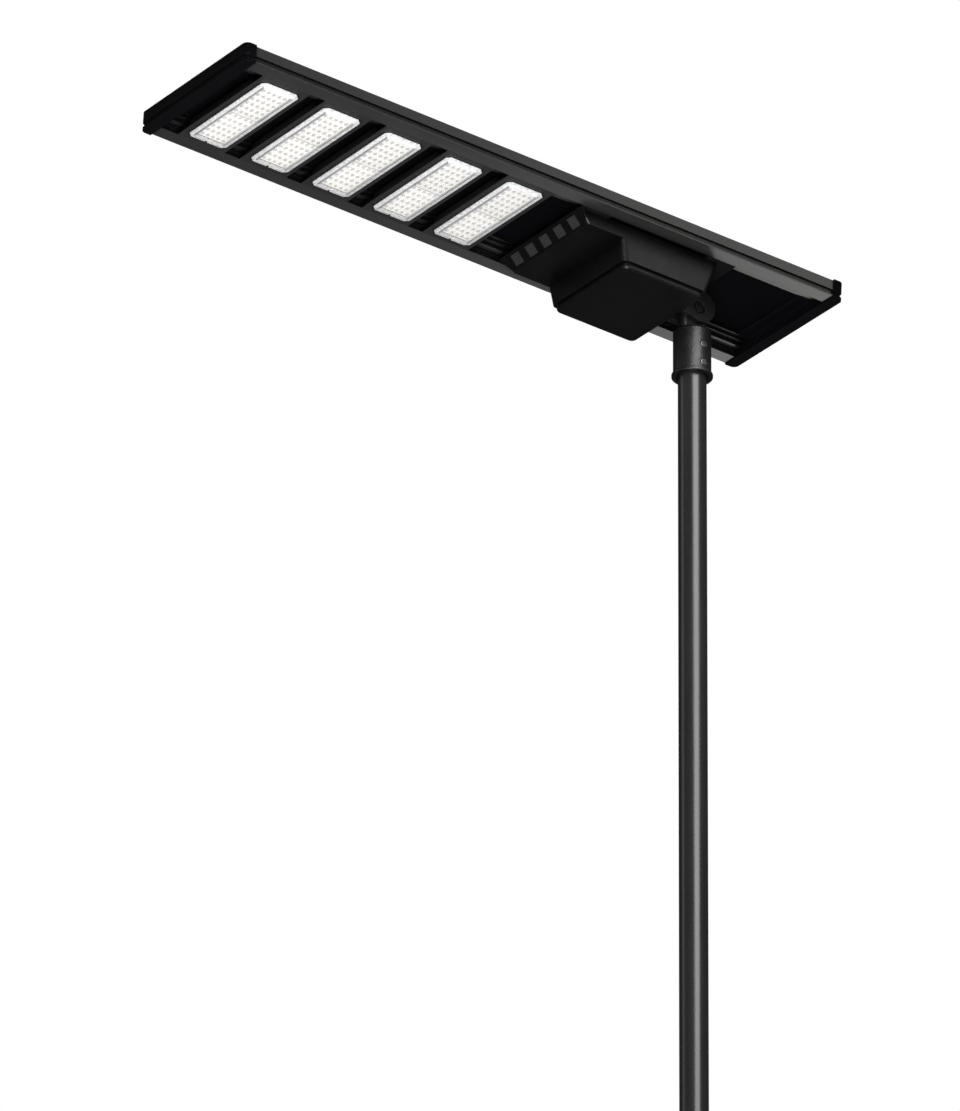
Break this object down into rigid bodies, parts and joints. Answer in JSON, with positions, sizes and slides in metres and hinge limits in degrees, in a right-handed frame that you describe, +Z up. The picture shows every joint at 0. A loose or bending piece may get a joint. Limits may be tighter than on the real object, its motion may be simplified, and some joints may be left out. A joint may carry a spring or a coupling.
{
  "type": "solar street lamp",
  "caption": "Solar street lamp: tall black post with a clamp sleeve and a long tilting head that carries a solar panel, LED lens plates and a battery box.",
  "frame": {"origin": "centre of the base plate's underside, on the post's axis", "axes": "+Z up along the post; +X from the post towards the LED end of the head; X-Z is the plane of symmetry"},
  "size_m": [1.5181, 0.379, 3.2287],
  "materials": {
    "pole_black": "satin black powder coat over steel tube",
    "sleeve_black": "fine-textured black powder coat on cast aluminium",
    "screw_black": "black-oxide steel",
    "screw_steel": "zinc-plated steel",
    "bolt_steel": "dark zinc-plated steel",
    "rail_grey": "dark grey anodised extrusion",
    "cap_black": "semi-gloss black moulded plastic",
    "glass_clear": "tempered solar glass",
    "cell_silicon": "monocrystalline silicon, blue-black",
    "backsheet_black": "black backsheet",
    "box_black": "moulded black case",
    "bar_grey": "dark grey anodised heat-sink bar",
    "board_white": "white solder mask",
    "lens_clear": "clear moulded polycarbonate",
    "rubber_black": "black silicone",
    "beam_grey": "black-coated steel",
    "frame_black": "black moulded plastic",
    "window_grey": "smoked grey window",
    "cell_wrap": "blue heat-shrink wrap",
    "holder_black": "black moulded holder",
    "board_green": "green solder mask"
  },
  "bodies": {
    "post": {"base_plate": "pole_black", "base_gussets": "pole_black", "pole_tube": "pole_black"},
    "clamp": {"pole_sleeve": "sleeve_black", "sleeve_set_screws": "screw_black", "friction_washers": "bolt_steel"},
    "head": {"battery_cells": "cell_wrap", "battery_cover": "sleeve_black", "battery_housing": "sleeve_black", "bms_board": "board_green", "cell_holders": "holder_black", "charge_controller": "box_black", "cover_gasket": "rubber_black", "cover_screws": "screw_steel", "cross_beam_front": "beam_grey", "cross_beam_rear": "beam_grey", "cross_beam_screws": "screw_steel", "end_cap_front": "cap_black", "end_cap_rear": "cap_black", "end_cap_screws": "screw_steel", "led_bar_1": "bar_grey", "led_bar_2": "bar_grey", "led_bar_3": "bar_grey", "led_bar_4": "bar_grey", "led_bar_5": "bar_grey", "led_bar_screws": "screw_steel", "led_board_1": "board_white", "led_board_2": "board_white", "led_board_3": "board_white", "led_board_4": "board_white", "led_board_5": "board_white", "lens_gasket_1": "rubber_black", "lens_gasket_2": "rubber_black", "lens_gasket_3": "rubber_black", "lens_gasket_4": "rubber_black", "lens_gasket_5": "rubber_black", "lens_plate_1": "lens_clear", "lens_plate_2": "lens_clear", "lens_plate_3": "lens_clear", "lens_plate_4": "lens_clear", "lens_plate_5": "lens_clear", "pivot_bolt": "bolt_steel", "pivot_bracket": "sleeve_black", "pivot_bracket_screws": "screw_black", "pivot_nut": "bolt_steel", "pv_backsheet": "backsheet_black", "pv_cells": "cell_silicon", "pv_glass": "glass_clear", "pv_junction_box": "box_black", "side_rail_left": "rail_grey", "side_rail_right": "rail_grey", "window_frame": "frame_black", "window_panes": "window_grey"}
  },
  "joints": [
    {"name": "sleeve_swivel", "type": "hinge", "parent": "post", "child": "clamp", "pos_m": [0, 0, 2.97], "axis": [0, 0, 1], "continuous": true},
    {"name": "head_tilt", "type": "hinge", "parent": "clamp", "child": "head", "pos_m": [0, 0, 3.082], "axis": [0, 1, 0], "range_deg": [-87, 18]}
  ]
}
